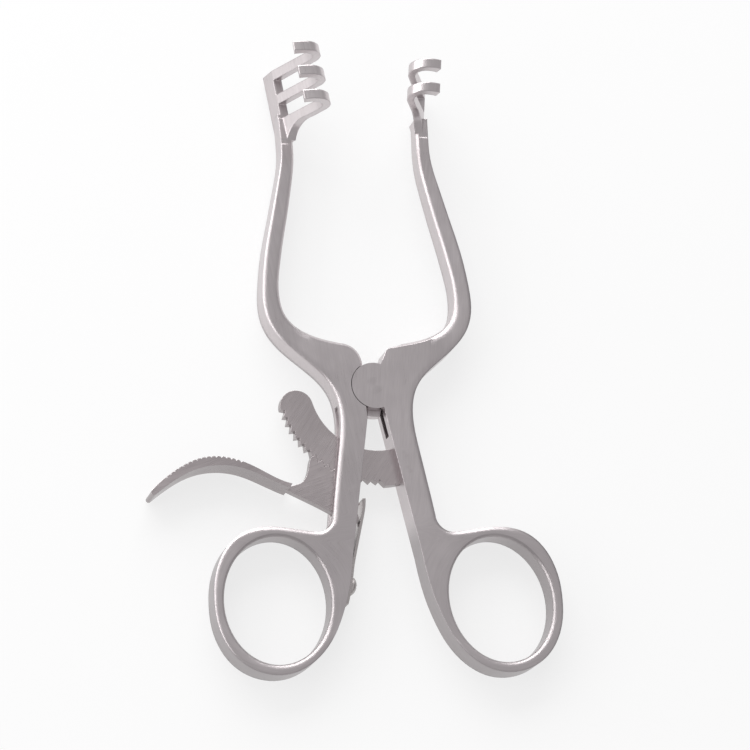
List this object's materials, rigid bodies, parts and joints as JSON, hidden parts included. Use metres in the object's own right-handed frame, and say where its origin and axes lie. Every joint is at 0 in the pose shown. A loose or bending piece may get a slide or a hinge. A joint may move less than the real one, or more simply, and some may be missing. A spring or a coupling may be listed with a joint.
{
  "type": "self retaining retractor",
  "caption": "Two non-crossing ring-handled arms on a box joint with outward hooked blunt prong combs, held open by a curved ratchet and a sprung thumb release lever.",
  "frame": {"origin": "on the pivot axis at the back faces of the arms, where the instrument rests when it lies flat", "axes": "+Z is the pivot axis towards the viewer, the way the prongs stand up; +Y runs from the finger rings to the combs; +X points to the two-prong arm"},
  "size_m": [0.0902, 0.1396, 0.0217],
  "materials": {
    "left_arm": "satin",
    "right_arm": "satin",
    "pins": "satin",
    "ratchet": "satin, finely ground",
    "lever": "satin",
    "spring": "satin",
    "screw": "satin"
  },
  "bodies": {
    "left_arm": {"left_arm": "left_arm", "lever_pin": "pins", "leaf_spring": "spring", "spring_screw": "screw"},
    "right_arm": {"right_arm": "right_arm", "ratchet_bar": "ratchet", "ratchet_rivet_inner": "pins", "ratchet_rivet_outer": "pins", "lock_pin": "pins"},
    "lever": {"release_lever": "lever"}
  },
  "joints": [
    {"name": "arm_hinge", "type": "hinge", "parent": "left_arm", "child": "right_arm", "pos_m": [0, 0, 0], "axis": [0, 0, -1], "range_deg": [-18.72, 9.36]},
    {"name": "lever_hinge", "type": "hinge", "parent": "left_arm", "child": "lever", "pos_m": [-0.007, -0.0235, 0], "axis": [0, 0, 1], "range_deg": [0, 11.5], "stiffness_Nm_per_rad": 0.25, "springref_deg": -9.74, "deforming": ["leaf_spring"]}
  ]
}
